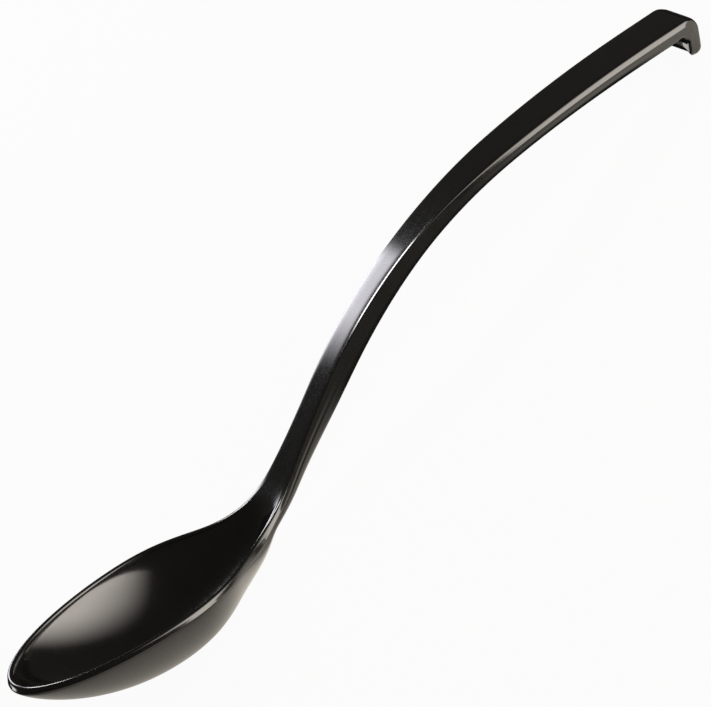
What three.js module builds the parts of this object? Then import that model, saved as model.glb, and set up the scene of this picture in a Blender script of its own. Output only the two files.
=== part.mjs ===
// Soup spoon of the ladle type: one moulding with a deep bowl, a curved handle and a hook at its end.
// Millimetres. +Z is up, +X runs along the spoon from the bowl to the hook, and Y is its width.
// It lies as it does on a table, on the underside of its bowl and the tip of its hook.
// The form is worked out with the bowl's rim level, then tipped into the lying pose.
import * as THREE from "three";

// Bowl, seen from above: a half ellipse at the front, drawn in to the neck behind its widest place.
const BOWL_FRONT = 38; // from the front tip to the widest place
const BOWL_WIDTH = 44.2;
const BOWL_REAR_PULL = 25.7; // how far the full width is carried back
const FRONT_FOCUS = 26.6; // how far the front's grid lines gather ahead of the widest place

// Bowl, in depth below the plane of its rim.
const BOWL_DEPTH = 17.8;
const HULL_ROOT = 0.85; // roundness of the outside: 0.5 is an ellipse, 1 is a parabola
const HULL_REAR = 36; // from the widest place to where the keel would reach the rim plane
const HULL_BLEND = 1.5; // softness of the turn from the keel into the neck
const FLOOR_WALL = 2.5; // thickness of the bowl's floor
const HOLLOW_ROOT = 0.8; // roundness of the inside
const HOLLOW_REAR = 34; // from the widest place to where the floor would reach the rim plane
const HOLLOW_BLEND = 2; // softness of the turn from the floor into the neck
const HOLLOW_FADE_START = 28; // behind the widest place, the hollow's trough begins to fade
const HOLLOW_FADE_LENGTH = 26;

// Rim and edges.
const RIM_WIDTH = 1.6;
const RIM_ROUND = 0.5; // inner edge of the rim
const RIM_BAND = 1.35; // height of the leaning face along the bowl's rim
const RIM_SIDE = 0.35; // height of the face below it
const EDGE_ROUND = 0.8; // outer edge of the rim and upper edges of the handle
const SIDE_LEAN = 22; // degrees that the upper part of the sides leans back from upright
const LOWER_LEAN = 16; // degrees at which the lower part starts, before it turns upright
const NECK_START = 18; // behind the widest place, the bowl's section begins to turn into a bar
const NECK_LENGTH = 24;

// Middle line of the upper face, seen from the side: a level run, a bend up, a ramp, a long bend back
// to nearly level, the grip, and the straight seat that lies on a bowl's edge.
const LEVEL_LENGTH = 61.8; // along the rim from the front tip to the bend
const BEND_RADIUS = 31.5;
const RAMP_ANGLE = 37.1; // degrees
const RAMP_LENGTH = 23.2;
const ARCH_RADIUS = 136.7;
const GRIP_ANGLE = 7.2; // degrees, where the arch ends
const GRIP_LENGTH = 45.6;
const SEAT_LENGTH = 9.6;

// Handle, seen from above.
const WAIST_AT = 63.2; // along the middle line, from the bowl's widest place to the narrowest place
const WAIST_WIDTH = 8.3;
const WAIST_FRONT_PULL = 45.8; // how far the narrow width is carried towards the bowl
const WAIST_REAR_PULL = 80.4; // and towards the grip
const END_WIDTH = 15.4;
const END_PULL = 87.3; // how far the end's width is carried back

// Handle, in thickness.
const NECK_AT = 32; // behind the widest place, the handle is thinnest
const NECK_THICK = 3.25;
const DEEP_AT = 74.4; // behind the widest place, the ramp is thickest
const DEEP_THICK = 5.7;
const GRIP_AT = 146; // behind the widest place, the grip is thinnest
const GRIP_THICK = 4;
const SEAT_THICK = 4.4;
const BAND_SHARE = 0.32; // part of the thickness that the leaning upper face of the sides takes
const SIDE_HEIGHT = 0.58; // part of the thickness down to the underside's rounding
const FLAT_PART = 0.55; // part of the half width over which the underside is flat

// Hook.
const HOOK_ROUND = 3.2; // outer bend
const HOOK_INNER_ROUND = 1.2;
const HOOK_ANGLE = 105; // degrees from the handle's direction
const HOOK_THICK = 4;
const HOOK_DROP = 0.9; // straight part below the bend
const HOOK_TAPER = 0.4; // how much narrower each side is at the tip
const HOOK_CORNER = 1.2; // rounding of the tip's two corners
const HOOK_EDGE = 1; // rounding of its outer edges
const END_BOW = 0.6; // how far the end's two sides stand back from its middle, seen from above
const BOW_FLAT = 0.65; // part of the half width over which the end is straight

// How finely the surfaces are divided.
const FRONT_STEPS = 14;
const REAR_STEPS = 22;
const HANDLE_STEPS = 36;
const SEAT_STEPS = 4;
const BEND_STEPS = 6;
const DROP_STEPS = 2;
const TIP_STEPS = 5;
const HOLLOW_POINTS = 8;
const ROUND_POINTS = 3;
const SIDE_POINTS = 2;
const FLAT_POINTS = 3;
const HULL_POINTS = 6;
const TIP_ANGLE = 75; // degrees of the tip's rounding that are modelled before its small end face

// Material.
const BLACK = 0x141312;
const GLOSS_ROUGHNESS = 0.12;

const degrees = Math.PI / 180;

function ease(t) {
  const k = Math.min(1, Math.max(0, t));
  return k * k * (3 - 2 * k);
}

function softMax(a, b, soft) {
  return 0.5 * (a + b + Math.hypot(a - b, soft));
}

function blend(a, b, k) {
  return a + (b - a) * k;
}

function steps(count, from, to) {
  return Array.from({ length: count }, (_, i) => from + ((to - from) * i) / (count - 1));
}

// A curve that starts and ends level: its height at x between two places, each with its own pull.
function levelCurve(x0, y0, pull0, x1, y1, pull1, x) {
  let low = 0;
  let high = 1;
  for (let i = 0; i < 48; i += 1) {
    const t = (low + high) / 2;
    const u = 1 - t;
    const at =
      u * u * u * x0 + 3 * t * u * u * (x0 + pull0) + 3 * t * t * u * (x1 - pull1) + t * t * t * x1;
    if (at < x) low = t;
    else high = t;
  }
  return blend(y0, y1, ease((low + high) / 2));
}

// The middle line's runs, each a length and the angle it turns through.
const RUNS = [
  [LEVEL_LENGTH, 0],
  [RAMP_ANGLE * degrees * BEND_RADIUS, RAMP_ANGLE * degrees],
  [RAMP_LENGTH, 0],
  [(RAMP_ANGLE - GRIP_ANGLE) * degrees * ARCH_RADIUS, (GRIP_ANGLE - RAMP_ANGLE) * degrees],
  [GRIP_LENGTH, -GRIP_ANGLE * degrees],
  [SEAT_LENGTH, 0],
];
const END_AT = RUNS.reduce((sum, run) => sum + run[0], 0);
const SEAT_AT = END_AT - SEAT_LENGTH;
const NECK_CUT = RUNS[0][0] + RUNS[1][0];

// Place and pitch of the middle line at a distance along it.
function middleLine(at) {
  let x = 0;
  let z = 0;
  let pitch = 0;
  let left = at;
  for (const [length, turn] of RUNS) {
    const part = Math.min(left, length);
    const bend = (turn * part) / length;
    if (turn === 0) {
      x += part * Math.cos(pitch);
      z += part * Math.sin(pitch);
    } else {
      const radius = length / turn;
      x += radius * (Math.sin(pitch + bend) - Math.sin(pitch));
      z -= radius * (Math.cos(pitch + bend) - Math.cos(pitch));
    }
    pitch += bend;
    left -= part;
  }
  return { x, z, pitch };
}

// Half width of the upper face at a distance along the middle line, behind the widest place.
function halfWidth(at) {
  const waist = BOWL_FRONT + WAIST_AT;
  if (at < waist) {
    return levelCurve(
      BOWL_FRONT, BOWL_WIDTH / 2, BOWL_REAR_PULL, waist, WAIST_WIDTH / 2, WAIST_FRONT_PULL, at,
    );
  }
  return levelCurve(waist, WAIST_WIDTH / 2, WAIST_REAR_PULL, END_AT, END_WIDTH / 2, END_PULL, at);
}

// Thickness of the handle, without the bowl's hull.
function barThickness(behind) {
  const seat = SEAT_AT - BOWL_FRONT;
  const ramp = ease((behind - NECK_AT) / (DEEP_AT - NECK_AT));
  const grip = ease((behind - DEEP_AT) / (GRIP_AT - DEEP_AT));
  const end = ease((behind - GRIP_AT) / (seat - GRIP_AT));
  return (
    NECK_THICK +
    (DEEP_THICK - NECK_THICK) * ramp +
    (GRIP_THICK - DEEP_THICK) * grip +
    (SEAT_THICK - GRIP_THICK) * end
  );
}

// Rise of the keel or the floor behind the widest place, as a part of the depth there. It leaves the
// front's own roundness and reaches the rim plane at the given distance.
function rise(behind, root, front, rear) {
  const bend = blend(root / front ** 2, 1 / rear ** 2, ease(behind / NECK_START));
  return bend * behind * behind;
}

// Sizes of the section at a distance along the middle line, behind the bowl's widest place.
function sectionAt(at) {
  const behind = at - BOWL_FRONT;
  const settled = ease(behind / NECK_START);
  const hull = BOWL_DEPTH * (1 - rise(behind, HULL_ROOT, BOWL_FRONT, HULL_REAR));
  const deep = softMax(hull, barThickness(behind), HULL_BLEND * settled);
  const bar = ease((behind - NECK_START) / NECK_LENGTH);
  const floor = 1 - rise(behind, HOLLOW_ROOT, BOWL_FRONT - RIM_WIDTH, HOLLOW_REAR);
  const fade = 1 - ease((behind - HOLLOW_FADE_START) / HOLLOW_FADE_LENGTH);
  const hollow = softMax((BOWL_DEPTH - FLOOR_WALL) * floor, 0, HOLLOW_BLEND * settled) * fade;
  const edge = blend(EDGE_ROUND, HOOK_EDGE, ease((at - SEAT_AT) / SEAT_LENGTH));
  return {
    half: halfWidth(at),
    deep,
    hollow,
    lip: Math.min(RIM_ROUND * (1 - bar), hollow),
    band: blend(RIM_BAND, BAND_SHARE * deep, bar),
    side: blend(RIM_BAND + RIM_SIDE, SIDE_HEIGHT * deep, bar),
    root: blend(HULL_ROOT, 0.5, bar),
    flat: FLAT_PART * bar,
    edge,
    rim: RIM_WIDTH + edge - EDGE_ROUND,
  };
}

// Where the points of a half section lie: parts of the half width, inside and outside, and turns of
// its rounded edges.
const hollowParts = steps(HOLLOW_POINTS, 0, 1);
const roundTurns = steps(ROUND_POINTS, 0, Math.PI / 2);
const flatParts = steps(FLAT_POINTS, 0, FLAT_PART);
const sideParts = steps(HULL_POINTS, 0, Math.PI / 2)
  .slice(1)
  .map((turn) => FLAT_PART + (1 - FLAT_PART) * Math.sin(turn));
const hullParts = [...flatParts, ...sideParts].reverse().slice(1);
const edgeTurns = steps(ROUND_POINTS, Math.PI / 2, SIDE_LEAN * degrees);
const lowerParts = steps(SIDE_POINTS + 1, 0, 1).slice(1);

// Outer side of a section: pairs of inset from the half width and depth below the upper face. The
// rounded upper edge runs into a face that leans back, down to the parting line at the depth of the
// band. The lower side below it turns upright at the depth where the underside starts.
function outerSide(edge, band, side) {
  const points = edgeTurns.map((turn) => [edge * (1 - Math.cos(turn)), edge * (1 - Math.sin(turn))]);
  const [edgeInset, edgeDepth] = points[points.length - 1];
  const partInset = edgeInset - (band - edgeDepth) * Math.tan(SIDE_LEAN * degrees);
  points.push([partInset, band]);
  for (const part of lowerParts) {
    const flare = Math.tan(LOWER_LEAN * degrees) * (part - (part * part) / 2);
    points.push([partInset - (side - band) * flare, blend(band, side, part)]);
  }
  return points;
}

// Half of a section from the middle of its upper face round to the middle of its underside, as
// pairs of distance from the middle plane and height over the upper face.
function halfSection(size) {
  const points = [];
  for (const part of hollowParts) {
    const height = -size.lip - (size.hollow - size.lip) * (1 - part * part) ** HOLLOW_ROOT;
    points.push([(size.half - size.rim) * part, height]);
  }
  for (const turn of roundTurns.slice(1)) {
    const across = size.half - size.rim + RIM_ROUND * (1 - Math.cos(turn));
    points.push([across, -size.lip * (1 - Math.sin(turn))]);
  }
  const outer = outerSide(size.edge, size.band, size.side);
  for (const [inset, depth] of outer) points.push([size.half - inset, -depth]);
  const [hullInset] = outer[outer.length - 1];
  for (const part of hullParts) {
    const past = Math.max(0, (part - size.flat) / (1 - size.flat));
    const height = -size.side - (size.deep - size.side) * (1 - past * past) ** size.root;
    points.push([(size.half - hullInset) * part, height]);
  }
  return points;
}

// A half section set square to a line through its upper face: origin, and direction into the body.
function placed(points, origin, inward) {
  return points.map(
    ([across, height]) =>
      new THREE.Vector3(origin[0] - height * inward[0], across, origin[1] - height * inward[1]),
  );
}

// Half line of the bowl's front at a turn: 0 is the line to the tip, a quarter turn the widest place.
function frontLine(turn) {
  const forward = Math.cos(turn);
  const aside = Math.sin(turn);
  const points = [];
  const add = (inset, part, height) => {
    const long = BOWL_FRONT - inset;
    const wide = BOWL_WIDTH / 2 - inset;
    const gather = FRONT_FOCUS / BOWL_FRONT;
    const ahead = long * forward * (gather + (1 - gather) * part * part);
    const across = wide * aside * part;
    const room = Math.max(0, 1 - (ahead / long) ** 2 - (across / wide) ** 2);
    points.push(new THREE.Vector3(BOWL_FRONT - ahead, across, height(room)));
  };
  const floor = BOWL_DEPTH - FLOOR_WALL;
  for (const part of hollowParts) {
    add(RIM_WIDTH, part, (room) => -RIM_ROUND - (floor - RIM_ROUND) * room ** HOLLOW_ROOT);
  }
  for (const round of roundTurns.slice(1)) {
    add(RIM_WIDTH - RIM_ROUND * (1 - Math.cos(round)), 1, () => -RIM_ROUND * (1 - Math.sin(round)));
  }
  const outer = outerSide(EDGE_ROUND, RIM_BAND, RIM_BAND + RIM_SIDE);
  for (const [inset, depth] of outer) add(inset, 1, () => -depth);
  const [hullInset, hullStart] = outer[outer.length - 1];
  for (const part of hullParts) {
    add(hullInset, part, (room) => -hullStart - (BOWL_DEPTH - hullStart) * room ** HULL_ROOT);
  }
  return points;
}

function barLine(at) {
  const { x, z, pitch } = middleLine(at);
  return placed(halfSection(sectionAt(at)), [x, z], [Math.sin(pitch), -Math.cos(pitch)]);
}

// Where the hook's sections begin and end, on its outer and inner curves: along the seat, round the
// bend, whose two curves have their own centres, and down to the tip.
function hookPairs() {
  const angle = HOOK_ANGLE * degrees;
  const facing = (turn) => [Math.sin(turn), Math.cos(turn)];
  const from = (place, way, length) => [place[0] + way[0] * length, place[1] + way[1] * length];
  const end = middleLine(END_AT);
  const seat = middleLine(SEAT_AT);
  const face = facing(angle);
  const down = [Math.cos(angle), -Math.sin(angle)];
  const outerCentre = [end.x, end.z - HOOK_ROUND];
  const facePlace = outerCentre[0] * face[0] + outerCentre[1] * face[1] + HOOK_ROUND - HOOK_THICK;
  const innerZ = end.z - SEAT_THICK - HOOK_INNER_ROUND;
  const innerX = (facePlace - HOOK_INNER_ROUND - face[1] * innerZ) / face[0];
  const pairs = [];
  for (const part of steps(SEAT_STEPS + 1, 0, 1).slice(0, -1)) {
    pairs.push([
      [blend(seat.x, end.x, part), end.z],
      [blend(seat.x, innerX, part), end.z - SEAT_THICK],
    ]);
  }
  for (const turn of steps(BEND_STEPS + 1, 0, angle)) {
    const out = facing(turn);
    pairs.push([from(outerCentre, out, HOOK_ROUND), from([innerX, innerZ], out, HOOK_INNER_ROUND)]);
  }
  const [bendOuter, bendInner] = pairs[pairs.length - 1];
  const level = (bendInner[0] - bendOuter[0]) * down[0] + (bendInner[1] - bendOuter[1]) * down[1];
  for (const drop of steps(DROP_STEPS + 1, 0, HOOK_DROP).slice(1)) {
    pairs.push([from(bendOuter, down, level + drop), from(bendInner, down, drop)]);
  }
  return { pairs, face, down };
}

// A section's sizes on the hook, with its own half width and thickness.
function hookSize(size, half, deep) {
  return { ...size, half, deep, band: BAND_SHARE * deep, side: SIDE_HEIGHT * deep };
}

// The end is bowed, seen from above: beside its flat middle the points stand back along the spoon.
function bowed(points, half, share) {
  return points.map((p) => {
    const past = Math.max(0, p.y / half - BOW_FLAT) / (1 - BOW_FLAT);
    return new THREE.Vector3(p.x - END_BOW * share * past * past, p.y, p.z);
  });
}

// Half lines of the hook over those sections, and round its tip.
function hookLines() {
  const { pairs, face, down } = hookPairs();
  const last = pairs.length - 1;
  const lines = pairs.map(([outer, inner], i) => {
    const size = sectionAt(blend(SEAT_AT, END_AT, Math.min(1, i / SEAT_STEPS)));
    const deep = Math.hypot(inner[0] - outer[0], inner[1] - outer[1]);
    const inward = [(inner[0] - outer[0]) / deep, (inner[1] - outer[1]) / deep];
    const half = size.half - HOOK_TAPER * Math.max(0, (i - SEAT_STEPS) / (last - SEAT_STEPS));
    const line = placed(halfSection(hookSize(size, half, deep)), outer, inward);
    return bowed(line, half, ease(i / SEAT_STEPS));
  });
  const size = sectionAt(END_AT);
  const middle = HOOK_THICK / 2;
  for (const turn of steps(TIP_STEPS + 1, 0, TIP_ANGLE * degrees).slice(1)) {
    const half = size.half - HOOK_TAPER - HOOK_CORNER * (1 - Math.cos(turn));
    const reach = middle * Math.cos(turn);
    const points = halfSection(hookSize(size, half, HOOK_THICK));
    const rounded = points.map(([across, height]) => [
      across,
      Math.min(reach, Math.max(-reach, height + middle)) - middle,
    ]);
    const further = middle * Math.sin(turn);
    const [tip] = pairs[last];
    const origin = [tip[0] + further * down[0], tip[1] + further * down[1]];
    lines.push(bowed(placed(rounded, origin, [-face[0], -face[1]]), half, 1));
  }
  return lines;
}

// A whole ring from a half line and its mirror image.
function ring(line) {
  const mirrored = line.slice(1, -1).reverse();
  return [...line, ...mirrored.map((p) => new THREE.Vector3(p.x, -p.y, p.z))];
}

// A closed skin over rings, with flat end faces. The bowl's first ring needs none, because it is folded
// shut on the middle plane.
function skin(rings, capStart) {
  const count = rings[0].length;
  const corners = [];
  const face = (a, b, c) => corners.push(a, b, c);
  for (let i = 0; i + 1 < rings.length; i += 1) {
    for (let j = 0; j < count; j += 1) {
      const next = (j + 1) % count;
      face(rings[i][j], rings[i + 1][j], rings[i + 1][next]);
      face(rings[i][j], rings[i + 1][next], rings[i][next]);
    }
  }
  const cap = (edge, turned) => {
    const across = new THREE.Vector3(0, 1, 0);
    const height = edge[count / 2].clone().sub(edge[0]).normalize();
    const outline = edge.map((p) => {
      const q = p.clone().sub(edge[0]);
      return new THREE.Vector2(q.dot(across), q.dot(height));
    });
    for (const [a, b, c] of THREE.ShapeUtils.triangulateShape(outline, [])) {
      if (turned) face(edge[a], edge[c], edge[b]);
      else face(edge[a], edge[b], edge[c]);
    }
  };
  if (capStart) cap(rings[0], false);
  cap(rings[rings.length - 1], true);
  const skinGeometry = new THREE.BufferGeometry();
  skinGeometry.setFromPoints(corners);
  skinGeometry.computeVertexNormals();
  return skinGeometry;
}

const frontRings = steps(FRONT_STEPS + 1, 0, Math.PI / 2)
  .slice(0, -1)
  .map((turn) => ring(frontLine(turn)));
const rearRings = steps(REAR_STEPS + 1, BOWL_FRONT, NECK_CUT).map((at) => ring(barLine(at)));
const handleRings = steps(HANDLE_STEPS + 1, NECK_CUT, SEAT_AT).map((at) => ring(barLine(at)));
const hookRings = hookLines().map(ring);

const zones = {
  bowl: [...frontRings, ...rearRings],
  handle: handleRings,
  hook: hookRings,
};

// Tip the level form until the bowl's underside and the hook's tip lie on one plane.
function lowest(rings, tilt) {
  let low = Infinity;
  for (const p of rings.flat()) low = Math.min(low, p.z * Math.cos(tilt) - p.x * Math.sin(tilt));
  return low;
}

function restTilt() {
  let low = 0;
  let high = Math.PI / 4;
  for (let i = 0; i < 60; i += 1) {
    const tilt = (low + high) / 2;
    if (lowest(zones.bowl, tilt) < lowest(zones.hook, tilt)) low = tilt;
    else high = tilt;
  }
  return (low + high) / 2;
}

const tilt = restTilt();
const turned = new THREE.Matrix4().makeRotationY(tilt);
const box = new THREE.Box3();
for (const rings of Object.values(zones)) {
  for (const p of rings.flat()) box.expandByPoint(p.clone().applyMatrix4(turned));
}
const centre = box.getCenter(new THREE.Vector3());
const lying = new THREE.Matrix4().makeTranslation(-centre.x, 0, -box.min.z).multiply(turned);

function glossBlack() {
  return new THREE.MeshStandardMaterial({ color: BLACK, roughness: GLOSS_ROUGHNESS, metalness: 0 });
}

const spoon = new THREE.Group();
spoon.name = "spoon";
for (const [name, rings] of Object.entries(zones)) {
  const mesh = new THREE.Mesh(skin(rings, name !== "bowl").applyMatrix4(lying), glossBlack());
  mesh.name = name;
  spoon.add(mesh);
}

export default spoon;
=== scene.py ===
"""A black moulded appetizer spoon on a white studio floor: its skin, gloss, lights and camera."""
import math

import bmesh
import bpy
import numpy as np
from mathutils import Matrix, Quaternion, Vector

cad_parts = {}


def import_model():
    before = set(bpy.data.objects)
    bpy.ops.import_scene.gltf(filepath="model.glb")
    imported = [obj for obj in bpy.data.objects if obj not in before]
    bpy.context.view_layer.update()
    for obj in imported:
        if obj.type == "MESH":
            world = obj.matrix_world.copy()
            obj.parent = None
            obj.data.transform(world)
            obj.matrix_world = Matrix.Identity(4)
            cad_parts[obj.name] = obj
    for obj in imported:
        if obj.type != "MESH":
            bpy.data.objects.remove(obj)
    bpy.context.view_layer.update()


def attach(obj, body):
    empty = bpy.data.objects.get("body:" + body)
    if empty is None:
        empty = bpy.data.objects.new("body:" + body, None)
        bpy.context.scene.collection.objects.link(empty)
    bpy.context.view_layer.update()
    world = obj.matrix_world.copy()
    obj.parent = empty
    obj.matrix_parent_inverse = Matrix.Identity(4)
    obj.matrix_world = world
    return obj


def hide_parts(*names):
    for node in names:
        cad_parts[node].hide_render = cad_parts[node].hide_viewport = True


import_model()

MM = 0.001

# Bowl, in millimetres, with its rim level
BOWL_FRONT = 38.0
BOWL_WIDTH = 44.2
BOWL_REAR_PULL = 25.7
FRONT_FOCUS = 26.6
BOWL_DEPTH = 17.8
HULL_ROOT = 0.85
HULL_REAR = 36.0
HULL_BLEND = 1.5
FLOOR_WALL = 2.5
HOLLOW_ROOT = 0.8
HOLLOW_REAR = 36.4
HOLLOW_BLEND = 2.0
HOLLOW_FADE_START = 32.0
HOLLOW_FADE_LENGTH = 20.0

# Rim and side: a rounded top edge, a leaning face down to the mould's parting line, and a lower side
RIM_WIDTH = 1.6
RIM_ROUND = 0.75
EDGE_ROUND = 0.8
WAIST_EDGE = 0.25
SIDE_LEAN = 22.0
WAIST_LEAN = 8.0
UPRIGHT_FROM = 33.0
UPRIGHT_AT = 41.0
UPRIGHT_TO = 106.0
LEANING_AT = 134.0
RIM_BAND = 1.35
RIM_SIDE = 0.2
BAND_SHARE = 0.32
PART_HEIGHT = 0.15
PART_STEP = 0.05
LOWER_LEAN = 16.0
SIDE_HEIGHT = 0.58
FLAT_PART = 0.55
BAR_ROOT = 0.5
TOP_CROWN = 0.12
CROWN_POWER = 6

# Handle's middle line: level, lower bend, ramp, arch, grip and seat
NECK_START = 18.0
NECK_LENGTH = 24.0
LEVEL_LENGTH = 61.8
BEND_RADIUS = 31.5
RAMP_ANGLE = 37.1
RAMP_LENGTH = 23.2
ARCH_RADIUS = 136.7
GRIP_ANGLE = 7.2
GRIP_LENGTH = 45.6
SEAT_LENGTH = 9.6
BEND_EASING = 9.0

# Handle's width and thickness
WAIST_AT = 63.2
WAIST_WIDTH = 8.5
WAIST_FRONT_PULL = 45.8
WAIST_REAR_PULL = 80.4
END_WIDTH = 15.4
END_PULL = 87.3
NECK_AT = 32.0
NECK_THICK = 3.25
DEEP_AT = 74.4
DEEP_THICK = 5.7
GRIP_AT = 146.0
GRIP_THICK = 4.0
SEAT_THICK = 4.4

# Hook
HOOK_ROUND = 3.2
HOOK_INNER_ROUND = 1.2
HOOK_ANGLE = 105.0
HOOK_THICK = 4.0
HOOK_DROP = 0.9
HOOK_TAPER = 0.4
HOOK_CORNER = 1.2
HOOK_EDGE = 0.85
END_BOW = 0.6
BOW_FLAT = 0.65
TIP_ANGLE = 84.0

# Search for the tilt at which the spoon rests
MOST_TILT = 40.0
TILT_ROUNDS = 60

# Fineness of the skin
FRONT_STEPS = 56
REAR_STEPS = 230
SEAT_STEPS = 10
BEND_STEPS = 18
DROP_STEPS = 6
TIP_STEPS = 14
HOLLOW_POINTS = 30
ROUND_POINTS = 7
BEVEL_POINTS = 5
SIDE_POINTS = 6
FLAT_POINTS = 8
HULL_POINTS = 24
LINE_STEP = 0.1
LINE_MARGIN = 40.0
CURVE_SAMPLES = 2001
WELD_METRES = 2e-6


def ease(part):
    part = np.clip(part, 0, 1)
    return part * part * (3 - 2 * part)


def soft_max(first, second, softness):
    return 0.5 * (first + second + np.hypot(first - second, softness))


def mixed(first, second, part):
    return first + (second - first) * part


def level_curve(start, start_value, start_pull, end, end_value, end_pull, places):
    """A curve that leaves its start and reaches its end level, as far as each pull."""
    part = np.linspace(0, 1, CURVE_SAMPLES)
    rest = 1 - part
    along = rest ** 3 * start
    along += 3 * part * rest ** 2 * (start + start_pull)
    along += 3 * part ** 2 * rest * (end - end_pull)
    along += part ** 3 * end
    return np.interp(places, along, mixed(start_value, end_value, ease(part)))


# Runs of the middle line: their lengths, the places where they start and end, and the pitches there
RUN_LENGTHS = [
    LEVEL_LENGTH,
    math.radians(RAMP_ANGLE) * BEND_RADIUS,
    RAMP_LENGTH,
    math.radians(RAMP_ANGLE - GRIP_ANGLE) * ARCH_RADIUS,
    GRIP_LENGTH,
    SEAT_LENGTH,
]
RUN_ENDS = np.concatenate([[0], np.cumsum(RUN_LENGTHS)])
RUN_PITCHES = np.radians([0, 0, RAMP_ANGLE, RAMP_ANGLE, GRIP_ANGLE, 0, 0])
SEAT_AT = RUN_ENDS[-2]
END_AT = RUN_ENDS[-1]


def middle_line():
    """Places along the top face's middle line, with its x, its height and its eased pitch."""
    places = np.arange(-LINE_MARGIN, END_AT + LINE_MARGIN, LINE_STEP)
    pitch = np.interp(places, RUN_ENDS, RUN_PITCHES)
    width = int(BEND_EASING / LINE_STEP)
    window = np.hanning(width + 2)[1:-1]
    padded = np.pad(pitch, width, mode="edge")
    pitch = np.convolve(padded, window / window.sum(), mode="same")[width:-width]
    middle_pitch = 0.5 * (pitch[1:] + pitch[:-1])
    x = np.concatenate([[0], np.cumsum(np.cos(middle_pitch) * LINE_STEP)])
    height = np.concatenate([[0], np.cumsum(np.sin(middle_pitch) * LINE_STEP)])
    zero = np.argmin(np.abs(places))
    return places, x - x[zero], height - height[zero], pitch


MIDDLE_LINE = middle_line()


def on_line(place):
    """The middle line's x, height and pitch at a place along it."""
    places, *columns = MIDDLE_LINE
    return [np.interp(place, places, column) for column in columns]


def half_width(place):
    waist = BOWL_FRONT + WAIST_AT
    front = level_curve(
        BOWL_FRONT, BOWL_WIDTH / 2, BOWL_REAR_PULL, waist, WAIST_WIDTH / 2, WAIST_FRONT_PULL, place
    )
    rear = level_curve(
        waist, WAIST_WIDTH / 2, WAIST_REAR_PULL, END_AT, END_WIDTH / 2, END_PULL, place
    )
    return np.where(place < waist, front, rear)


def bar_thickness(behind):
    seat = SEAT_AT - BOWL_FRONT
    thick = NECK_THICK + (DEEP_THICK - NECK_THICK) * ease((behind - NECK_AT) / (DEEP_AT - NECK_AT))
    thick = thick + (GRIP_THICK - DEEP_THICK) * ease((behind - DEEP_AT) / (GRIP_AT - DEEP_AT))
    return thick + (SEAT_THICK - GRIP_THICK) * ease((behind - GRIP_AT) / (seat - GRIP_AT))


def rise(behind, root, front, rear):
    """The floor's rise behind the widest line, with the front's curvature at its start."""
    return mixed(root / front ** 2, 1 / rear ** 2, ease(behind / NECK_START)) * behind ** 2


def waist_share(behind):
    """1 along the waist, where the side is upright with a sharp edge, and 0 on the rim and the grip."""
    upright = ease((behind - UPRIGHT_FROM) / (UPRIGHT_AT - UPRIGHT_FROM))
    leaning = ease((behind - UPRIGHT_TO) / (LEANING_AT - UPRIGHT_TO))
    return upright * (1 - leaning)


def section_sizes(place):
    """The sizes of the cross-sections at some places behind the bowl's widest line."""
    behind = place - BOWL_FRONT
    settled = ease(behind / NECK_START)
    bar = ease((behind - NECK_START) / NECK_LENGTH)
    waist = waist_share(behind)
    seat = ease((place - SEAT_AT) / SEAT_LENGTH)
    hull = BOWL_DEPTH * (1 - rise(behind, HULL_ROOT, BOWL_FRONT, HULL_REAR))
    deep = soft_max(hull, bar_thickness(behind), HULL_BLEND * settled)
    floor = 1 - rise(behind, HOLLOW_ROOT, BOWL_FRONT - RIM_WIDTH, HOLLOW_REAR)
    fade = 1 - ease((behind - HOLLOW_FADE_START) / HOLLOW_FADE_LENGTH)
    hollow = soft_max((BOWL_DEPTH - FLOOR_WALL) * floor, 0 * place, HOLLOW_BLEND * settled) * fade
    return {
        "half": half_width(place),
        "deep": deep,
        "hollow": hollow,
        "lip": np.minimum(RIM_ROUND * (1 - bar), hollow),
        "band": mixed(RIM_BAND, BAND_SHARE * deep, bar),
        "side": mixed(RIM_BAND + PART_HEIGHT + RIM_SIDE, SIDE_HEIGHT * deep, bar),
        "root": mixed(HULL_ROOT, BAR_ROOT, bar),
        "flat": FLAT_PART * bar,
        "crown": TOP_CROWN * bar,
        "edge": mixed(mixed(EDGE_ROUND, WAIST_EDGE, waist), HOOK_EDGE, seat),
        "lean": np.radians(mixed(SIDE_LEAN, WAIST_LEAN, waist)),
    }


# Shares of a section's widths and heights at which it has its points
HOLLOW_PARTS = np.sin(np.linspace(0, math.pi / 2, HOLLOW_POINTS))
BEVEL_PARTS = np.linspace(0, 1, BEVEL_POINTS)[1:]
SIDE_PARTS = np.linspace(0, 1, SIDE_POINTS)[1:]
FLAT_PARTS = np.linspace(0, FLAT_PART, FLAT_POINTS, endpoint=False)
ROUND_PARTS = mixed(FLAT_PART, 1, np.sin(np.linspace(0, math.pi / 2, HULL_POINTS)))
HULL_PARTS = np.concatenate([FLAT_PARTS, ROUND_PARTS])[-2::-1]


def lip_arc(lip):
    """Insets and depths of the rounded inner lip, from the hollow's edge up to the rim's top."""
    turns = np.linspace(0, math.pi / 2, ROUND_POINTS)[1:]
    insets = RIM_WIDTH - RIM_ROUND * (1 - np.cos(turns))
    return insets, lip * (1 - np.sin(turns))


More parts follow.
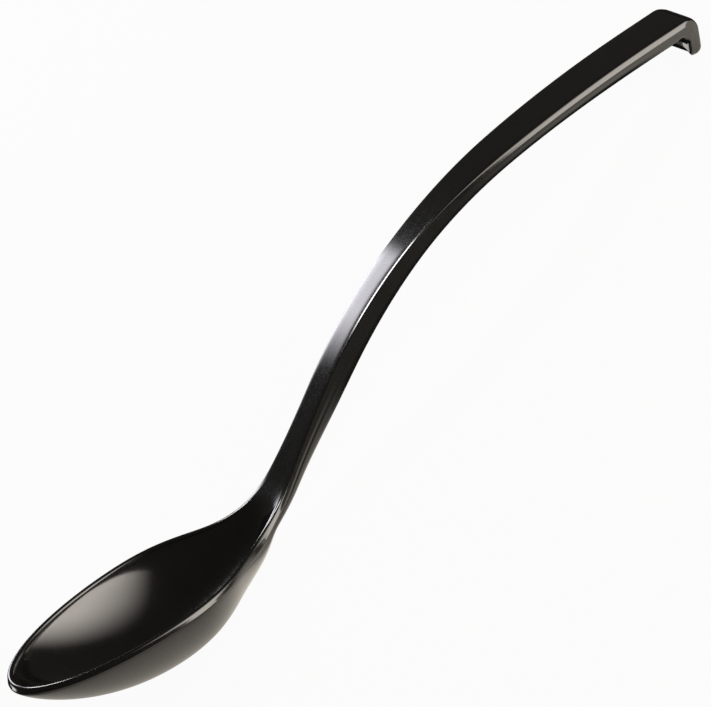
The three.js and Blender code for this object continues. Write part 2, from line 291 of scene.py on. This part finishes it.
def outer_side(edge, band, side, lean):
    """Insets and depths of the top edge's rounding, the leaning face, the parting line's small step
    and the lower side, which turns upright where the hull starts."""
    turns = mixed(math.pi / 2, lean, np.linspace(0, 1, ROUND_POINTS))
    arc_insets = edge * (1 - np.cos(turns)) + 0 * band
    arc_depths = edge * (1 - np.sin(turns)) + 0 * band
    bevel_depths = mixed(arc_depths[:, -1:], band, BEVEL_PARTS)
    bevel_insets = arc_insets[:, -1:] - (bevel_depths - arc_depths[:, -1:]) * np.tan(lean)
    step_inset = bevel_insets[:, -1:] + PART_STEP
    step_depth = band + PART_HEIGHT
    room = side - step_depth
    flare = math.tan(math.radians(LOWER_LEAN)) * (SIDE_PARTS - 0.5 * SIDE_PARTS ** 2)
    lower_insets = step_inset - room * flare
    lower_depths = step_depth + room * SIDE_PARTS
    insets = np.concatenate([arc_insets, bevel_insets, step_inset, lower_insets], 1)
    depths = np.concatenate([arc_depths, bevel_depths, step_depth, lower_depths], 1)
    return insets, depths


def half_sections(sizes):
    """Half cross-sections as two arrays, distance from the middle and depth under the top face."""
    size = {name: np.asarray(value, float)[:, None] for name, value in sizes.items()}
    half = size["half"]
    below_lip = size["hollow"] - size["lip"]
    hollow_depth = size["lip"] + below_lip * (1 - HOLLOW_PARTS ** 2) ** HOLLOW_ROOT
    lip_insets, lip_depths = lip_arc(size["lip"])
    side_insets, side_depths = outer_side(size["edge"], size["band"], size["side"], size["lean"])
    past_flat = np.clip((HULL_PARTS - size["flat"]) / (1 - size["flat"]), 0, 1)
    below_side = size["deep"] - size["side"]
    hull_depths = size["side"] + below_side * (1 - past_flat ** 2) ** size["root"]
    across = np.concatenate([
        (half - RIM_WIDTH) * HOLLOW_PARTS,
        half - lip_insets,
        half - side_insets,
        (half - side_insets[:, -1:]) * HULL_PARTS,
    ], 1)
    depth = np.concatenate([hollow_depth, lip_depths, side_depths, hull_depths], 1)
    top_share = 1 - depth / size["deep"]
    depth = depth + size["crown"] * (across / half) ** CROWN_POWER * top_share
    return across, depth


def placed(across, depth, origin_x, origin_z, way_x, way_z):
    """Sections set along the middle line: each starts at its origin and goes deeper along its way."""
    columns = [np.asarray(value, float)[:, None] for value in (origin_x, origin_z, way_x, way_z)]
    x = columns[0] + depth * columns[2]
    z = columns[1] + depth * columns[3]
    return np.stack([x, across, z], -1)


def front_lines():
    """Half outlines of the bowl's front, from the tip round to its widest line."""
    turn = np.linspace(0, math.pi / 2, FRONT_STEPS, endpoint=False)[:, None]
    gather = FRONT_FOCUS / BOWL_FRONT

    def ring(inset, part):
        length = BOWL_FRONT - inset
        width = BOWL_WIDTH / 2 - inset
        ahead = length * np.cos(turn) * (gather + (1 - gather) * part ** 2)
        across = width * np.sin(turn) * part
        room = np.clip(1 - (ahead / length) ** 2 - (across / width) ** 2, 0, 1)
        return ahead, across, room

    def line(ahead, across, depth):
        return np.stack([BOWL_FRONT - ahead, across, -depth + 0 * ahead], -1)

    floor = BOWL_DEPTH - FLOOR_WALL
    ahead, across, room = ring(RIM_WIDTH, HOLLOW_PARTS)
    rows = [line(ahead, across, RIM_ROUND + (floor - RIM_ROUND) * room ** HOLLOW_ROOT)]
    lip_insets, lip_depths = lip_arc(RIM_ROUND)
    hull_start = RIM_BAND + PART_HEIGHT + RIM_SIDE
    band = np.array([[RIM_BAND]])
    side = np.array([[hull_start]])
    lean = np.radians([[SIDE_LEAN]])
    side_insets, side_depths = outer_side(EDGE_ROUND, band, side, lean)
    for insets, depths in ((lip_insets, lip_depths), (side_insets[0], side_depths[0])):
        ahead, across, _ = ring(insets, np.ones(len(insets)))
        rows.append(line(ahead, across, depths))
    ahead, across, room = ring(side_insets[0, -1], HULL_PARTS)
    rows.append(line(ahead, across, hull_start + (BOWL_DEPTH - hull_start) * room ** HULL_ROOT))
    return np.concatenate(rows, 1)


def bar_lines():
    """Half outlines from the bowl's widest line to the handle's seat."""
    place = np.linspace(BOWL_FRONT, SEAT_AT, REAR_STEPS, endpoint=False)
    x, height, pitch = on_line(place)
    across, depth = half_sections(section_sizes(place))
    return placed(across, depth, x, height, np.sin(pitch), -np.cos(pitch))


def facing(turn):
    """The direction that is up before its turn, and along the spoon after a quarter turn."""
    return np.stack([np.sin(turn), np.cos(turn)], -1)


def hook_pairs():
    """Pairs of points on the outside and the inside of the seat, the bend and the hook's drop."""
    angle = math.radians(HOOK_ANGLE)
    face = facing(angle)
    down = np.array([math.cos(angle), -math.sin(angle)])
    end_x, end_z, _ = on_line(END_AT)
    seat_x, _, _ = on_line(SEAT_AT)
    outer_centre = np.array([end_x, end_z - HOOK_ROUND])
    face_place = outer_centre @ face + HOOK_ROUND - HOOK_THICK
    inner_z = end_z - SEAT_THICK - HOOK_INNER_ROUND
    inner_x = (face_place - HOOK_INNER_ROUND - face[1] * inner_z) / face[0]
    inner_centre = np.array([inner_x, inner_z])
    part = np.linspace(0, 1, SEAT_STEPS, endpoint=False)
    turn = np.linspace(0, angle, BEND_STEPS + 1)
    outer_seat = np.stack([mixed(seat_x, end_x, part), end_z + 0 * part], -1)
    inner_seat = np.stack([mixed(seat_x, inner_x, part), end_z - SEAT_THICK + 0 * part], -1)
    outer_bend = outer_centre + HOOK_ROUND * facing(turn)
    inner_bend = inner_centre + HOOK_INNER_ROUND * facing(turn)
    levelled = (inner_bend[-1] - outer_bend[-1]) @ down
    drop = np.linspace(0, HOOK_DROP, DROP_STEPS + 1)[1:, None]
    outer_drop = outer_bend[-1] + (levelled + drop) * down
    inner_drop = inner_bend[-1] + drop * down
    outer = np.concatenate([outer_seat, outer_bend, outer_drop])
    inner = np.concatenate([inner_seat, inner_bend, inner_drop])
    return outer, inner, face, down


def bowed(lines, half, share):
    """The end bowed in plan: beside its flat middle the points stand back along the spoon."""
    past = np.maximum(0, lines[..., 1] / half[:, None] - BOW_FLAT) / (1 - BOW_FLAT)
    back = END_BOW * np.asarray(share)[:, None] * past ** 2
    return lines - back[..., None] * np.array([1, 0, 0])


def hook_lines():
    """Half outlines of the seat, the bend, the hook's drop and its rounded tip."""
    outer, inner, face, down = hook_pairs()
    count = len(outer)
    deep = np.hypot(*(inner - outer).T)
    way = (inner - outer) / deep[:, None]
    number = np.arange(count)
    sizes = section_sizes(mixed(SEAT_AT, END_AT, np.minimum(1, number / SEAT_STEPS)))
    along_hook = np.clip((number - SEAT_STEPS) / (count - 1 - SEAT_STEPS), 0, 1)
    sizes["half"] = sizes["half"] - HOOK_TAPER * along_hook
    sizes["deep"] = deep
    sizes["band"] = BAND_SHARE * deep
    sizes["side"] = SIDE_HEIGHT * deep
    across, depth = half_sections(sizes)
    lines = placed(across, depth, outer[:, 0], outer[:, 1], way[:, 0], way[:, 1])
    lines = bowed(lines, sizes["half"], ease(number / SEAT_STEPS))
    turn = np.linspace(0, math.radians(TIP_ANGLE), TIP_STEPS + 1)[1:]
    middle = HOOK_THICK / 2
    last = {name: np.repeat(value[-1:], TIP_STEPS) for name, value in sizes.items()}
    last["half"] = last["half"] - HOOK_CORNER * (1 - np.cos(turn))
    across, depth = half_sections(last)
    reach = middle * np.cos(turn)[:, None]
    depth = middle + np.clip(depth - middle, -reach, reach)
    origin = outer[-1] + (middle * np.sin(turn))[:, None] * down
    inward = np.repeat(-face[None, :], TIP_STEPS, 0)
    tip = placed(across, depth, origin[:, 0], origin[:, 1], inward[:, 0], inward[:, 1])
    return np.concatenate([lines, bowed(tip, last["half"], np.ones(TIP_STEPS))])


def rested(points, tilt):
    """Points of the level form, turned about the Y axis by the tilt."""
    x = points[..., 0] * math.cos(tilt) + points[..., 2] * math.sin(tilt)
    z = -points[..., 0] * math.sin(tilt) + points[..., 2] * math.cos(tilt)
    return np.stack([x, points[..., 1], z], -1)


def rest_tilt(points, hook_points):
    """The tilt at which the bowl and the hook both touch the table, found by halving its range."""
    low = 0.0
    high = math.radians(MOST_TILT)
    for _ in range(TILT_ROUNDS):
        tilt = 0.5 * (low + high)
        if rested(points, tilt)[..., 2].min() < rested(hook_points, tilt)[..., 2].min():
            low = tilt
        else:
            high = tilt
    return tilt


front = front_lines()
bar = bar_lines()
hook = hook_lines()
half_skin = np.concatenate([front, bar, hook])
TILT = rest_tilt(np.concatenate([front, bar]), hook)
rest_points = rested(half_skin, TILT)
REST_SHIFT = np.array([
    -0.5 * (rest_points[..., 0].min() + rest_points[..., 0].max()),
    0,
    -rest_points[..., 2].min(),
])


def to_rest(points):
    """Points of the level form, in millimetres, as places in the scene, in metres."""
    return (rested(np.asarray(points, float), TILT) + REST_SHIFT) * MM


def added(name, data):
    """A new object with this data, linked to the scene."""
    piece = bpy.data.objects.new(name, data)
    bpy.context.scene.collection.objects.link(piece)
    return piece


def spoon_mesh():
    """One closed skin: both halves, to be welded along the middle plane, and a cap at the hook's tip."""
    lines = to_rest(half_skin)
    stations, points = lines.shape[:2]
    mirrored = lines * np.array([1, -1, 1])
    vertices = np.concatenate([lines.reshape(-1, 3), mirrored.reshape(-1, 3)])
    station, point = np.meshgrid(np.arange(stations - 1), np.arange(points - 1), indexing="ij")
    corner = (station * points + point).ravel()
    near = np.stack([corner, corner + 1, corner + points + 1, corner + points], -1)
    far = near[:, ::-1] + stations * points
    faces = np.concatenate([near, far]).tolist()
    last = (stations - 1) * points + np.arange(points)
    cap = np.concatenate([last, last[::-1][1:-1] + stations * points])
    faces.append(cap.tolist())
    mesh = bpy.data.meshes.new("spoon_skin")
    mesh.from_pydata(vertices.tolist(), [], faces)
    return mesh


def welded(mesh):
    """The mesh with its doubled points joined, its normals outward and its shading smooth."""
    sheet = bmesh.new()
    sheet.from_mesh(mesh)
    bmesh.ops.remove_doubles(sheet, verts=sheet.verts, dist=WELD_METRES)
    bmesh.ops.recalc_face_normals(sheet, faces=sheet.faces)
    for face in sheet.faces:
        face.smooth = True
    sheet.to_mesh(mesh)
    sheet.free()
    mesh.update()
    return mesh


def node(tree, kind, **inputs):
    """A new node with some of its inputs set."""
    made = tree.nodes.new(kind)
    for name, value in inputs.items():
        made.inputs[name].default_value = value
    return made


def noise(tree, place, **inputs):
    """The value of a new noise texture at a place."""
    made = node(tree, "ShaderNodeTexNoise", **inputs)
    tree.links.new(place, made.inputs["Vector"])
    return made.outputs["Fac"]


# Melamine: its gloss, and what the noise makes of its colour, its polish and its surface
BODY_IOR = 1.6
COAT_IOR = 1.5
COAT_ROUGHNESS = 0.04
NOISE_LOW = 0.3
NOISE_HIGH = 0.7
DARK_TINT = (0.0066, 0.0062, 0.0055, 1)
LIGHT_TINT = (0.0096, 0.0090, 0.0080, 1)
SMOOTHEST = 0.13
ROUGHEST = 0.2
PEEL_STRENGTH = 0.05
PEEL_METRES = 0.00003


def melamine():
    """Black melamine with a polished skin: faint colour drift, uneven gloss and a slight orange peel."""
    material = bpy.data.materials.new("black_melamine")
    material.use_nodes = True
    tree = material.node_tree
    shader = tree.nodes["Principled BSDF"]
    shader.inputs["IOR"].default_value = BODY_IOR
    shader.inputs["Coat Weight"].default_value = 1.0
    shader.inputs["Coat IOR"].default_value = COAT_IOR
    shader.inputs["Coat Roughness"].default_value = COAT_ROUGHNESS
    place = tree.nodes.new("ShaderNodeTexCoord").outputs["Object"]
    drift = noise(tree, place, Scale=140.0, Detail=4.0, Roughness=0.6)
    tint = tree.nodes.new("ShaderNodeValToRGB")
    dark, light = tint.color_ramp.elements
    dark.position = NOISE_LOW
    dark.color = DARK_TINT
    light.position = NOISE_HIGH
    light.color = LIGHT_TINT
    tree.links.new(drift, tint.inputs["Fac"])
    tree.links.new(tint.outputs["Color"], shader.inputs["Base Color"])
    polish = noise(tree, place, Scale=900.0, Detail=6.0, Roughness=0.65)
    limits = {"From Min": NOISE_LOW, "From Max": NOISE_HIGH, "To Min": SMOOTHEST, "To Max": ROUGHEST}
    gloss = node(tree, "ShaderNodeMapRange", **limits)
    tree.links.new(polish, gloss.inputs["Value"])
    tree.links.new(gloss.outputs["Result"], shader.inputs["Roughness"])
    peel = noise(tree, place, Scale=420.0, Detail=2.0, Roughness=0.4)
    bump = node(tree, "ShaderNodeBump", Strength=PEEL_STRENGTH, Distance=PEEL_METRES)
    tree.links.new(peel, bump.inputs["Height"])
    tree.links.new(bump.outputs["Normal"], shader.inputs["Normal"])
    return material


def spoon():
    """The spoon's skin, which stands for all three CAD nodes."""
    piece = added("spoon_skin", welded(spoon_mesh()))
    piece.data.materials.append(melamine())
    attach(piece, "root")
    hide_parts("bowl", "handle", "hook")


# Floor, in metres: a wide white disc that turns up at its rim
FLOOR_RADIUS = 7.0
FLOOR_RINGS = (0.4, 1.0, 2.5)
FLOOR_TURNS = 96
COVE_HEIGHT = 0.7
COVE_RADIUS = 1.5
COVE_STEPS = 12
FLOOR_WHITE = 0.86
WHITE_SHARE = 0.95
# Warm tint of the painted light patches that the spoon mirrors from the paper
PAINTED_LIGHT_TINT = (1.0, 0.93, 0.82, 1.0)

# Patches of painted light on the paper, which only the spoon's reflections show, in metres: a strength,
# and for each edge its axis, where it starts and where it is full. They lie round the bowl, under the
# neck, in front of the grip, beside the hook, and faintly along the whole front.
PAINTED_LIGHT_PATCHES = [
    (0.4, [("X", -0.035, -0.07), ("Y", 0.09, 0.04)]),
    (1.0, [("X", -0.075, -0.04), ("X", -0.002, -0.03), ("Y", -0.07, -0.04), ("Y", 0.02, 0.0)]),
    (1.0, [("X", 0.04, 0.11), ("X", 0.3, 0.2), ("Y", -0.015, -0.045), ("Y", -0.25, -0.15)]),
    (1.0, [("X", 0.092, 0.108), ("Y", 0.0, -0.012), ("Y", -0.045, -0.015)]),
    (0.1, [("Y", 0.0, -0.04)]),
]


def floor_mesh():
    rings = [(radius, 0.0) for radius in (*FLOOR_RINGS, FLOOR_RADIUS - COVE_RADIUS)]
    for part in np.linspace(0, 1, COVE_STEPS + 1)[1:]:
        rings.append((FLOOR_RADIUS - COVE_RADIUS * (1 - part), COVE_HEIGHT * part ** 2))
    vertices = [(0.0, 0.0, 0.0)]
    faces = []
    for radius, height in rings:
        for number in range(FLOOR_TURNS):
            turn = 2 * math.pi * number / FLOOR_TURNS
            vertices.append((radius * math.cos(turn), radius * math.sin(turn), height))
    for number in range(FLOOR_TURNS):
        following = (number + 1) % FLOOR_TURNS
        faces.append((0, 1 + number, 1 + following))
        for ring in range(len(rings) - 1):
            inner = 1 + ring * FLOOR_TURNS
            outer = inner + FLOOR_TURNS
            faces.append((inner + number, outer + number, outer + following, inner + following))
    mesh = bpy.data.meshes.new("floor")
    mesh.from_pydata(vertices, [], faces)
    for face in mesh.polygons:
        face.use_smooth = True
    return mesh


def soft_step(tree, value, low, high):
    """0 at low and 1 at high, with a smooth way between. It falls where low is above high."""
    step = node(tree, "ShaderNodeMapRange", **{"From Min": low, "From Max": high})
    step.interpolation_type = "SMOOTHSTEP"
    tree.links.new(value, step.inputs["Value"])
    return step.outputs["Result"]


def combined(tree, operation, first, second):
    """Two values joined by an operation. The second may be a plain number."""
    made = tree.nodes.new("ShaderNodeMath")
    made.operation = operation
    tree.links.new(first, made.inputs[0])
    if isinstance(second, float):
        made.inputs[1].default_value = second
    else:
        tree.links.new(second, made.inputs[1])
    return made.outputs[0]


def place_axes(tree, kind):
    """The axes of a point's Position in the scene, or of its Parametric place on a lamp."""
    place = tree.nodes.new("ShaderNodeNewGeometry")
    axes = tree.nodes.new("ShaderNodeSeparateXYZ")
    tree.links.new(place.outputs[kind], axes.inputs[0])
    return axes.outputs


def soft_patch(tree, axes, edges):
    """1 inside its edges and 0 outside. Each edge has an axis, a start and a place where it is full."""
    patch = None
    for axis, start, full in edges:
        step = soft_step(tree, axes[axis], start, full)
        patch = step if patch is None else combined(tree, "MULTIPLY", patch, step)
    return patch


def painted_floor_light(tree):
    """The painted light on the paper, which no lamp casts and which only the spoon mirrors: the sum of
    the patches.
    """
    axes = place_axes(tree, "Position")
    total = None
    for strength, edges in PAINTED_LIGHT_PATCHES:
        patch = combined(tree, "MULTIPLY", soft_patch(tree, axes, edges), strength)
        total = patch if total is None else combined(tree, "ADD", total, patch)
    return total


def floor_material():
    """White paper: lit as paper is and mostly plain white where it is seen, with warm patches of painted
    light where the spoon mirrors it."""
    material = bpy.data.materials.new("white_paper")
    material.use_nodes = True
    tree = material.node_tree
    tree.nodes.clear()
    output = tree.nodes.new("ShaderNodeOutputMaterial")
    paper = node(tree, "ShaderNodeBsdfDiffuse", Color=(FLOOR_WHITE, FLOOR_WHITE, FLOOR_WHITE, 1))
    white = node(tree, "ShaderNodeEmission", Color=(1, 1, 1, 1))
    # Painted light: a warm glow from the patches, which only glossy rays see
    warm = node(tree, "ShaderNodeEmission", Color=PAINTED_LIGHT_TINT)
    path = tree.nodes.new("ShaderNodeLightPath").outputs
    seen = combined(tree, "MAXIMUM", path["Is Camera Ray"], path["Is Transmission Ray"])
    mirrored = combined(tree, "MULTIPLY", painted_floor_light(tree), path["Is Glossy Ray"])
    tree.links.new(seen, white.inputs["Strength"])
    tree.links.new(mirrored, warm.inputs["Strength"])
    glow = tree.nodes.new("ShaderNodeAddShader")
    tree.links.new(white.outputs["Emission"], glow.inputs[0])
    tree.links.new(warm.outputs["Emission"], glow.inputs[1])
    shown = combined(tree, "MAXIMUM", seen, path["Is Glossy Ray"])
    mix = tree.nodes.new("ShaderNodeMixShader")
    tree.links.new(combined(tree, "MULTIPLY", shown, WHITE_SHARE), mix.inputs["Fac"])
    tree.links.new(paper.outputs["BSDF"], mix.inputs[1])
    tree.links.new(glow.outputs["Shader"], mix.inputs[2])
    tree.links.new(mix.outputs["Shader"], output.inputs["Surface"])
    return material


def floor():
    piece = added("floor", floor_mesh())
    piece.data.materials.append(floor_material())


STUDIO_COLOUR = (0.035, 0.034, 0.032, 1)


def world():
    """A dim studio around the white floor."""
    made = bpy.data.worlds.new("dim_studio")
    made.use_nodes = True
    background = made.node_tree.nodes["Background"]
    background.inputs["Color"].default_value = STUDIO_COLOUR
    background.inputs["Strength"].default_value = 1.0
    bpy.context.scene.world = made


def toward(azimuth, elevation):
    """The direction of an azimuth and an elevation, in degrees."""
    turn = math.radians(azimuth)
    lift = math.radians(elevation)
    level = math.cos(lift)
    return Vector((math.cos(turn) * level, math.sin(turn) * level, math.sin(lift)))


def softbox(name, target, azimuth, elevation, distance, size, radiance, colour, fades, roll=0.0):
    """An area lamp that faces its target, turned in its own plane by its roll. Its fades are the shares
    of its width and height that soften: at its end of low azimuth, at the other, below and above."""
    lamp = bpy.data.lights.new(name, "AREA")
    lamp.shape = "RECTANGLE"
    lamp.size, lamp.size_y = size
    lamp.color = colour
    lamp.energy = radiance * math.pi * size[0] * size[1]
    lamp.use_nodes = True
    tree = lamp.node_tree
    low, high, below, above = fades
    edges = [("X", 0.0, low), ("X", 1.0, 1 - high), ("Y", 0.0, below), ("Y", 1.0, 1 - above)]
    softened = [edge for edge in edges if edge[1] != edge[2]]
    strength = soft_patch(tree, place_axes(tree, "Parametric"), softened)
    tree.links.new(strength, tree.nodes["Emission"].inputs["Strength"])
    piece = added(name, lamp)
    way = toward(azimuth, elevation)
    piece.location = Vector(target) + way * distance
    turn = Quaternion((0, 0, 1), math.radians(roll))
    piece.rotation_euler = (way.to_track_quat("Z", "Y") @ turn).to_euler()
    piece.visible_camera = False


def lights():
    """A warm softbox in front, a lilac card and a high strip behind, and a weak card at the back left."""
    softbox(
        "main_softbox", target=(-0.1, 0, 0.02), azimuth=-43, elevation=28, distance=1.35,
        size=(1.6, 1.7), radiance=4.4, colour=(1.0, 0.925, 0.845),
        fades=(0.1, 0.58, 0, 0.65), roll=8,
    )
    softbox(
        "rear_card", target=(-0.012, 0, 0.02), azimuth=90, elevation=21.5, distance=0.76,
        size=(0.25, 0.3), radiance=4.3, colour=(0.95, 0.93, 1.0),
        fades=(0.15, 0.5, 0, 0.15),
    )
    softbox(
        "high_strip", target=(0.007, 0, 0.02), azimuth=90, elevation=46, distance=0.65,
        size=(0.21, 0.13), radiance=14.0, colour=(0.97, 0.97, 1.0),
        fades=(0.1, 0.3, 0.15, 0.15),
    )
    softbox(
        "left_card", target=(0.1, 0, 0.01), azimuth=132, elevation=4, distance=0.9,
        size=(0.34, 0.16), radiance=2.4, colour=(1.0, 0.97, 0.93),
        fades=(0.2, 0.2, 0, 0.4),
    )


# Camera: its place and directions in the level form's frame, in millimetres, and the photo's pixels
CAMERA_PLACE = (-293.907, -1260.933, 626.663)
CAMERA_RIGHT = (0.79744, -0.44940, -0.40265)
CAMERA_UP = (0.53538, 0.21919, 0.81567)
FOCAL_PIXELS = 6160.0
IMAGE_WIDTH = 711
IMAGE_HEIGHT = 707
CENTRE_X = 355.0
CENTRE_Y = 353.0
SENSOR_WIDTH = 36.0
NEAREST_METRES = 0.05
FARTHEST_METRES = 100.0


def camera():
    """The photo's camera, turned with the spoon to its resting tilt."""
    view = bpy.data.cameras.new("photo_camera")
    view.sensor_fit = "HORIZONTAL"
    view.sensor_width = SENSOR_WIDTH
    view.lens = FOCAL_PIXELS * SENSOR_WIDTH / IMAGE_WIDTH
    view.shift_x = (IMAGE_WIDTH / 2 - CENTRE_X) / IMAGE_WIDTH
    view.shift_y = (CENTRE_Y - IMAGE_HEIGHT / 2) / IMAGE_WIDTH
    view.clip_start = NEAREST_METRES
    view.clip_end = FARTHEST_METRES
    piece = added("photo_camera", view)
    right = Vector(rested(np.array(CAMERA_RIGHT), TILT))
    up = Vector(rested(np.array(CAMERA_UP), TILT))
    back = right.cross(up)
    turned = Matrix((right, up, back)).transposed().to_4x4()
    piece.matrix_world = Matrix.Translation(Vector(to_rest(CAMERA_PLACE))) @ turned
    bpy.context.scene.camera = piece


bpy.context.scene.view_settings.view_transform = "Standard"
camera()
spoon()
floor()
world()
lights()
